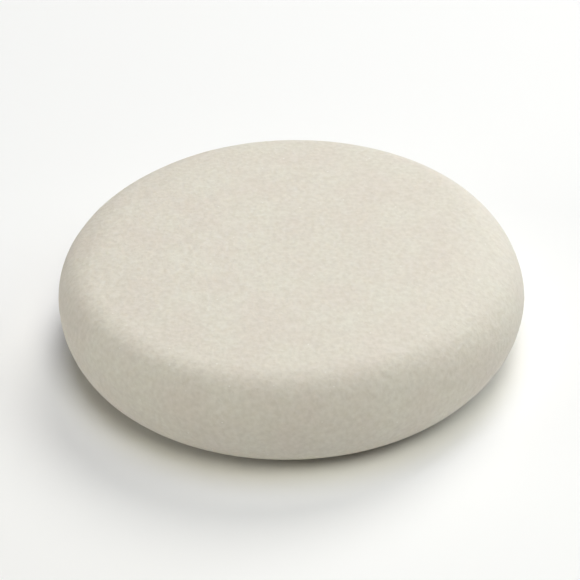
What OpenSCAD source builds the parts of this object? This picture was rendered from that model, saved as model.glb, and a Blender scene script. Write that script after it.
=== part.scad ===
// Shaving soap puck: one round cake of hard milled soap, pressed between two dies.
//
// Both faces have a flat land in the middle, fall away in a very low crown, and roll
// over a rounded shoulder into a bulging side. The two halves mirror each other.
// The cake stands on its lower land, with its axis along +Z, and the origin is the
// centre of that land.

/* [Cake] */
// Diameter round the widest part of the side
puck_d = 75; // [70:1:80]
// Height between the two lands
puck_h = 19; // [18.5:0.5:21]

/* [Faces] */
// Diameter of the flat land in the middle of each face
land_d = 24; // [20:1:30]
// Slope of the crown where it meets the shoulder, in degrees
crown_slope = 4.75; // [3:0.25:6]

/* [Side] */
// Radius of the arc round the widest part of the side
side_r = 10; // [9:0.2:10.6]
// Angle that this arc covers above the widest part, and again below it, in degrees
side_angle = 42; // [36:1:44]

/* [Hidden] */
$fn = 180;

cream = [0.88, 0.86, 0.79];

// Straight steps that each arc of the outline is drawn in
crown_steps = 4;
shoulder_steps = 10;
side_steps = 9;

// The outline is three arcs, each tangent to the next. Slopes are measured from level,
// so the land is at 0 degrees and the widest part of the side is at 90.
rim_r = puck_d / 2;
half_h = puck_h / 2;
land_r = land_d / 2;
side_slope = 90 - side_angle;

// The shoulder takes up the height and width that the crown and the side leave over
crown_fall = tan(crown_slope / 2);
side_rise = side_r * cos(side_slope);
side_inset = side_r * (1 - sin(side_slope));
shoulder_height = half_h - side_rise - crown_fall * (rim_r - side_inset - land_r);
shoulder_r = shoulder_height
    / (cos(crown_slope) - cos(side_slope) - crown_fall * (sin(side_slope) - sin(crown_slope)));
crown_end_r = rim_r - side_inset - shoulder_r * (sin(side_slope) - sin(crown_slope));
crown_r = (crown_end_r - land_r) / sin(crown_slope);

// Arc centres, as [distance from the axis, height above the widest part]
crown_centre = [land_r, half_h - crown_r];
side_centre = [rim_r - side_r, 0];
shoulder_centre = side_centre + (side_r - shoulder_r) * square_to(side_slope);

// Unit vector square to a surface of this slope
function square_to(slope) = [sin(slope), cos(slope)];

// Points along an arc, without its first point, which ends the stretch before it
function arc_after(centre, radius, from, to, steps) =
    [for (i = [1:steps]) centre + radius * square_to(from + (to - from) * i / steps)];

// Half of the cross-section's outline, from the axis down to the widest part
upper_half = concat(
    [[0, half_h], [land_r, half_h]],
    arc_after(crown_centre, crown_r, 0, crown_slope, crown_steps),
    arc_after(shoulder_centre, shoulder_r, crown_slope, side_slope, shoulder_steps),
    arc_after(side_centre, side_r, side_slope, 90, side_steps)
);
// The other half is its mirror image, back to the axis
lower_half = [for (i = [len(upper_half) - 2:-1:0]) [upper_half[i].x, -upper_half[i].y]];

// The whole cake, standing on its lower land
module soap_puck() {
    color(cream)
        translate([0, 0, half_h])
            rotate_extrude()
                polygon(concat(upper_half, lower_half));
}

soap_puck();
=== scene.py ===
import math

import bmesh
import bpy
import numpy as np
from mathutils import Matrix, Vector, noise


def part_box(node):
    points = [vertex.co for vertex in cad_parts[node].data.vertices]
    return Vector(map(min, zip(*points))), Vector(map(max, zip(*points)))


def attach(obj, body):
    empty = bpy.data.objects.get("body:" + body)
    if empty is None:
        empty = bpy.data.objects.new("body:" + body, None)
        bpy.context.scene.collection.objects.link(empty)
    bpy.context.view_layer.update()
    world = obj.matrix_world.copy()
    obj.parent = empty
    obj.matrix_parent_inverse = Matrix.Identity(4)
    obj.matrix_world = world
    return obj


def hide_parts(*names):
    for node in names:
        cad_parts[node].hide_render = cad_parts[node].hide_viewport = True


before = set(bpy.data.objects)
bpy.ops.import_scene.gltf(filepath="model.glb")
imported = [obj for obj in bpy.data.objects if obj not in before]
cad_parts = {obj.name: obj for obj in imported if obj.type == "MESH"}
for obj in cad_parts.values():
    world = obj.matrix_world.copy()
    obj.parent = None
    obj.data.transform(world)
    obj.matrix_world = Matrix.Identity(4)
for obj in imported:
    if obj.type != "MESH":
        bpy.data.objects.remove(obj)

# A cake of hard milled shaving soap. The CAD cake gives its place and size. The piece made
# here follows the same three arcs, with the soft dents, waviness and grain of real soap.

MM = 0.001
CAKE = "soap_puck"

# The outline, as in the CAD source
LAND_RADIUS = 12 * MM              # flat land in the middle of each face
CROWN_SLOPE = math.radians(4.75)   # slope of the crown where it meets the shoulder
SIDE_RADIUS = 10 * MM              # arc round the widest part of the side
SIDE_ANGLE = math.radians(42)      # how far that arc reaches above and below the widest part

ARC_STEPS = 1500                   # points along the outline, crown to widest part
LAND_STEPS = 200                   # points along the land

# The mesh: a cube's grid, blown up to the cake, has even faces and no poles
GRID = 126                         # faces along each edge of that cube

# Relief: height, size and seed of each kind of unevenness
SWELL = (0.10 * MM, 22 * MM, 3.7)  # broad, left by the press
WAVES = (0.025 * MM, 6 * MM, 11.3)
GRAIN = 0.006 * MM                 # one value for each point of the mesh
GRAIN_SEED = 7

# Where the upper shoulder is worn, or fuller where the depth is negative. Degrees: angle round
# the cake (0 is +X, 90 the far side) and how far it spreads. Millimetres: distance from the
# axis, width and depth.
SHOULDER_WEAR = [
    (136, 20, 31.5, 3.0, 0.40),
    (168, 20, 33.0, 2.6, 0.60),
    (196, 10, 30.0, 3.0, 0.12),
    (228, 36, 34.2, 2.8, -0.30),
    (303, 6, 30.5, 2.8, 0.12),
    (328, 20, 32.4, 3.2, 0.70),
    (354, 18, 32.8, 3.0, 0.55),
]
WEAR_FADE = 2 * MM                 # height above the widest part over which the wear comes in

# The soap's colours
SOAP_DARK = (0.745, 0.690, 0.615)
SOAP_LIGHT = (0.757, 0.726, 0.640)
# painted shade: the colour laid into the hollows of the grain, where shade falls
GRAIN_HOLLOW_SHADE = (0.58, 0.53, 0.44)
# painted glints: pale specks standing in for tiny sparkles of light on the surface
SOAP_GLINT_SPECK = (0.84, 0.81, 0.75)

# The soap's texture
MOTTLE_SIZE = 9 * MM
GRAIN_SIZE = 0.80 * MM
GRAIN_DEPTH = 0.13 * MM
HOLLOW_SHADE_STRENGTH = 0.5                  # how strongly the grain's hollows take on the painted shade colour
PORE_SIZE = 0.22 * MM
PORE_DEPTH = 0.020 * MM
GLINT_CELL = 0.6 * MM
GLINT_SHARE = 0.12                 # cells that hold a speck of painted glint
SOAP_ROUGHNESS = (0.55, 0.75)
SUBSURFACE_WEIGHT = 0.2
SUBSURFACE_RADIUS = (1.0, 0.8, 0.55)
SUBSURFACE_SCALE = 0.8 * MM
NOISE_SPREAD = (0.3, 0.7)          # where nearly all of a noise's values lie

# How the upper face sits: slid sideways from the cake's middle, and tilted
FACE_SLIDE = (-0.8 * MM, -1.0 * MM)
FACE_TILT = 0.010                  # rise towards +X

# The camera, as it stands to the cake
CAMERA_ELEVATION = math.radians(35.6)
CAMERA_DISTANCE = 416.7 * MM
CAMERA_LENS = 160.0                # on a 36 mm sensor
CAMERA_ROLL = math.radians(1.6)
CAMERA_SHIFT = (-0.0022, -0.0006)

FLOOR_HALF = 0.5
FLOOR_COLOUR = (0.92, 0.92, 0.92)
FLOOR_ROUGHNESS = 0.8

# Studio lights, all discs at one distance: azimuth (0 is behind the cake, 90 to its right),
# elevation, power and colour
LIGHT_DISTANCE = 0.9
LIGHT_SIZE = 0.5
LIGHTS = {
    "back": (25, 48, 4.0, (1.0, 0.97, 0.91)),
    "back_right": (42, 16, 1.66, (0.82, 0.90, 1.0)),
    "right": (95, 38, 1.35, (0.95, 1.0, 0.97)),
    "top": (0, 89, 1.98, (0.74, 0.79, 1.0)),
    "front": (162, 62, 3.1, (1.0, 0.98, 0.84)),
    "left": (258, 14, 1.95, (1.0, 0.99, 0.89)),
}
WORLD_COLOUR = (1, 1, 1)
WORLD_STRENGTH = 1.0               # only seen as the backdrop: the lights do all the lighting

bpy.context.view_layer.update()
cake_low, cake_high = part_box(CAKE)


# ---------------------------------------------------------------- shape

def cake_outline():
    """Distance from the axis, height above the middle, and slope, from the top to the base."""
    rim = (cake_high.y - cake_low.y) / 2
    half = (cake_high.z - cake_low.z) / 2
    side_slope = math.pi / 2 - SIDE_ANGLE
    fall = math.tan(CROWN_SLOPE / 2)
    rise = SIDE_RADIUS * math.cos(side_slope)
    inset = SIDE_RADIUS * (1 - math.sin(side_slope))
    left = half - rise - fall * (rim - inset - LAND_RADIUS)
    spread = math.sin(side_slope) - math.sin(CROWN_SLOPE)
    shoulder = left / (math.cos(CROWN_SLOPE) - math.cos(side_slope) - fall * spread)
    crown_end = rim - inset - shoulder * spread
    crown = (crown_end - LAND_RADIUS) / math.sin(CROWN_SLOPE)

    slope = np.linspace(0, math.pi / 2, ARC_STEPS)
    on_crown, on_side = slope < CROWN_SLOPE, slope > side_slope
    radius = crown_end + shoulder * (np.sin(slope) - math.sin(CROWN_SLOPE))
    height = rise + shoulder * (np.cos(slope) - math.cos(side_slope))
    radius[on_crown] = LAND_RADIUS + crown * np.sin(slope[on_crown])
    height[on_crown] = half - crown * (1 - np.cos(slope[on_crown]))
    radius[on_side] = rim - SIDE_RADIUS * (1 - np.sin(slope[on_side]))
    height[on_side] = SIDE_RADIUS * np.cos(slope[on_side])

    land = np.linspace(0, LAND_RADIUS, LAND_STEPS, endpoint=False)
    radius = np.concatenate([land, radius])
    height = np.concatenate([np.full(len(land), half), height])
    slope = np.concatenate([np.zeros(len(land)), slope])
    return (
        np.concatenate([radius, radius[-2::-1]]),
        np.concatenate([height, -height[-2::-1]]),
        np.concatenate([slope, math.pi - slope[-2::-1]]),
    )


def unit_grid():
    """A cube's grid of even quads, pushed out to a unit sphere."""
    bm = bmesh.new()
    bmesh.ops.create_cube(bm, size=2)
    bmesh.ops.subdivide_edges(bm, edges=bm.edges[:], cuts=GRID - 1, use_grid_fill=True)
    for v in bm.verts:
        v.co = Vector([math.tan(c * math.pi / 4) for c in v.co]).normalized()
    mesh = bpy.data.meshes.new(CAKE + "_visual")
    bm.to_mesh(mesh)
    bm.free()
    return mesh


def wrap_to_outline(mesh):
    """The unit sphere's points moved to the cake, so that its faces stay even, and the normals."""
    unit = np.empty(len(mesh.vertices) * 3)
    mesh.vertices.foreach_get("co", unit)
    unit = unit.reshape(-1, 3)
    radius, height, slope = cake_outline()
    ring = (radius[1:] + radius[:-1]) * np.hypot(np.diff(radius), np.diff(height))
    share = np.concatenate([[0], np.cumsum(ring)]) / ring.sum()
    place = (1 - unit[:, 2]) / 2
    across = np.hypot(unit[:, 0], unit[:, 1])
    around = unit[:, :2] / np.maximum(across, 1e-9)[:, None]
    points = np.empty_like(unit)
    points[:, :2] = around * np.interp(place, share, radius)[:, None]
    points[:, 2] = np.interp(place, share, height)
    tilt = np.interp(place, share, slope)
    normals = np.column_stack([around * np.sin(tilt)[:, None], np.cos(tilt)])
    return points, normals


def waviness(points, size, seed):
    """Smooth noise, about -1 to 1, whose bumps are about this size."""
    return np.array([noise.noise(Vector(p) / size + Vector((seed, seed, seed))) for p in points])


def shoulder_wear(points):
    """How much the upper shoulder has lost at each point."""
    around = np.degrees(np.arctan2(points[:, 1], points[:, 0]))
    radius = np.hypot(points[:, 0], points[:, 1]) / MM
    depth = np.zeros(len(points))
    for angle, spread, distance, width, deep in SHOULDER_WEAR:
        apart = (around - angle + 180) % 360 - 180
        depth += deep * MM * np.exp(-(apart / spread) ** 2 - ((radius - distance) / width) ** 2)
    return depth * np.clip(points[:, 2] / WEAR_FADE, 0, 1)


def relief(points):
    """Height to add along the normals."""
    height = np.zeros(len(points))
    for depth, size, seed in (SWELL, WAVES):
        height += depth * waviness(points, size, seed)
    height += GRAIN * np.random.default_rng(GRAIN_SEED).normal(size=len(points))
    height -= shoulder_wear(points)
    return height


def settle_face(points):
    """Slides and tilts the upper face a little, as the dies left it."""
    share = np.clip(points[:, 2] / points[:, 2].max(), 0, 1)
    rise = share * FACE_TILT * points[:, 0]
    points[:, 0] += share * FACE_SLIDE[0]
    points[:, 1] += share * FACE_SLIDE[1]
    points[:, 2] += rise


def make_cake():
    """The cake as one closed mesh, in the CAD cake's place."""
    mesh = unit_grid()
    points, normals = wrap_to_outline(mesh)
    points += normals * relief(points)[:, None]
    settle_face(points)
    points += np.array((cake_high + cake_low) / 2)
    points[:, 2] = np.maximum(points[:, 2], cake_low.z)
    mesh.vertices.foreach_set("co", points.ravel())
    mesh.update()
    mesh.shade_smooth()
    cake = bpy.data.objects.new(CAKE + "_visual", mesh)
    bpy.context.scene.collection.objects.link(cake)
    return cake


# ---------------------------------------------------------------- materials

def new_material(name):
    material = bpy.data.materials.new(name)
    material.use_nodes = True
    return material, material.node_tree.nodes["Principled BSDF"]


def add_noise(tree, place, size, detail):
    """Noise whose bumps are about this size."""
    node = tree.nodes.new("ShaderNodeTexNoise")
    node.inputs["Scale"].default_value = 1 / size
    node.inputs["Detail"].default_value = detail
    tree.links.new(place, node.inputs["Vector"])
    return node.outputs["Fac"]


def add_range(tree, value, source, target):
    """A value in the source range, brought to the target range."""
    node = tree.nodes.new("ShaderNodeMapRange")
    for socket, number in zip(("From Min", "From Max", "To Min", "To Max"), (*source, *target)):
        node.inputs[socket].default_value = number
    tree.links.new(value, node.inputs["Value"])
    return node.outputs["Result"]


def add_mix(tree, factor, low, high):
    """Mixes two colours. Each is a constant or another node's output."""
    node = tree.nodes.new("ShaderNodeMix")
    node.data_type = "RGBA"
    tree.links.new(factor, node.inputs["Factor"])
    for socket, colour in (("A", low), ("B", high)):
        plug = next(i for i in node.inputs if i.name == socket and i.type == "RGBA")
        if isinstance(colour, tuple):
            plug.default_value = (*colour, 1)
        else:
            tree.links.new(colour, plug)
    return next(o for o in node.outputs if o.type == "RGBA")


def add_bump(tree, height, depth, below=None):
    """Bumps this deep, on top of the normals from below."""
    node = tree.nodes.new("ShaderNodeBump")
    node.inputs["Distance"].default_value = depth
    tree.links.new(height, node.inputs["Height"])
    if below is not None:
        tree.links.new(below, node.inputs["Normal"])
    return node.outputs["Normal"]


def add_specks(tree, place, size, share):
    """Tiny round specks of painted glint, as a 0 to 1 mask. The share is how many of the cells have
    one.
    """
    node = tree.nodes.new("ShaderNodeTexVoronoi")
    node.inputs["Scale"].default_value = 1 / size
    tree.links.new(place, node.inputs["Vector"])
    near = add_range(tree, node.outputs["Distance"], (0.12, 0.28), (1, 0))
    chosen = add_range(tree, node.outputs["Color"], (1 - share, 1 - share + 0.02), (0, 1))
    both = tree.nodes.new("ShaderNodeMath")
    both.operation = "MULTIPLY"
    tree.links.new(near, both.inputs[0])
    tree.links.new(chosen, both.inputs[1])
    return both.outputs["Value"]


def soap_material():
    material, shader = new_material("milled_soap")
    tree = material.node_tree
    place = tree.nodes.new("ShaderNodeTexCoord").outputs["Object"]
    mottle = add_noise(tree, place, MOTTLE_SIZE, 3)
    grain = add_noise(tree, place, GRAIN_SIZE, 4)
    pores = add_noise(tree, place, PORE_SIZE, 2)

    broad = add_mix(tree, add_range(tree, mottle, (0.35, 0.65), (0, 1)), SOAP_DARK, SOAP_LIGHT)
    # Painted shade: the grain's low points, its hollows, are darkened towards the shade colour
    hollow_shade = add_range(tree, grain, NOISE_SPREAD, (HOLLOW_SHADE_STRENGTH, 0))
    shaded_grain = add_mix(tree, hollow_shade, broad, GRAIN_HOLLOW_SHADE)
    # Painted glints: pale specks scattered over the soap
    specks = add_specks(tree, place, GLINT_CELL, GLINT_SHARE)
    pale = add_mix(tree, specks, shaded_grain, SOAP_GLINT_SPECK)
    tree.links.new(pale, shader.inputs["Base Color"])

    rough = add_range(tree, grain, NOISE_SPREAD, SOAP_ROUGHNESS)
    tree.links.new(rough, shader.inputs["Roughness"])
    normal = add_bump(tree, grain, GRAIN_DEPTH)
    normal = add_bump(tree, pores, PORE_DEPTH, normal)
    tree.links.new(normal, shader.inputs["Normal"])

    shader.inputs["Subsurface Weight"].default_value = SUBSURFACE_WEIGHT
    shader.inputs["Subsurface Radius"].default_value = SUBSURFACE_RADIUS
    shader.inputs["Subsurface Scale"].default_value = SUBSURFACE_SCALE
    return material


def floor_material():
    material, shader = new_material("pale_floor")
    shader.inputs["Base Color"].default_value = (*FLOOR_COLOUR, 1)
    shader.inputs["Roughness"].default_value = FLOOR_ROUGHNESS
    return material


# ---------------------------------------------------------------- studio

def make_floor():
    mesh = bpy.data.meshes.new("floor")
    corners = [(x * FLOOR_HALF, y * FLOOR_HALF, 0) for x, y in ((-1, -1), (1, -1), (1, 1), (-1, 1))]
    mesh.from_pydata(corners, [], [(0, 1, 2, 3)])
    floor = bpy.data.objects.new("floor", mesh)
    bpy.context.scene.collection.objects.link(floor)
    floor.data.materials.append(floor_material())


def make_camera():
    data = bpy.data.cameras.new("camera")
    data.lens = CAMERA_LENS
    data.shift_x, data.shift_y = CAMERA_SHIFT
    camera = bpy.data.objects.new("camera", data)
    bpy.context.scene.collection.objects.link(camera)
    back = Vector((0, -math.cos(CAMERA_ELEVATION), math.sin(CAMERA_ELEVATION)))
    target = (cake_low + cake_high) / 2
    camera.location = target + back * CAMERA_DISTANCE
    turn = back.to_track_quat("Z", "Y").to_matrix()
    roll = Matrix.Rotation(-CAMERA_ROLL, 3, "Z")
    camera.rotation_euler = (turn @ roll).to_euler()
    bpy.context.scene.camera = camera


def make_light(name, azimuth, elevation, power, colour):
    data = bpy.data.lights.new(name, "AREA")
    data.shape = "DISK"
    data.size = LIGHT_SIZE
    data.energy = power
    data.color = colour
    light = bpy.data.objects.new(name, data)
    bpy.context.scene.collection.objects.link(light)
    a, e = math.radians(azimuth), math.radians(elevation)
    away = Vector((math.sin(a) * math.cos(e), math.cos(a) * math.cos(e), math.sin(e)))
    light.location = away * LIGHT_DISTANCE
    light.rotation_euler = away.to_track_quat("Z", "Y").to_euler()


def make_world():
    world = bpy.data.worlds.new("studio")
    world.use_nodes = True
    background = world.node_tree.nodes["Background"]
    background.inputs["Color"].default_value = (*WORLD_COLOUR, 1)
    background.inputs["Strength"].default_value = WORLD_STRENGTH
    world.cycles_visibility.diffuse = False
    world.cycles_visibility.glossy = False
    bpy.context.scene.world = world


make_camera()
make_floor()
make_world()
for name, setup in LIGHTS.items():
    make_light(name, *setup)

cake = make_cake()
cake.data.materials.append(soap_material())
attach(cake, "root")
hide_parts(CAKE)

bpy.context.scene.view_settings.view_transform = "Standard"
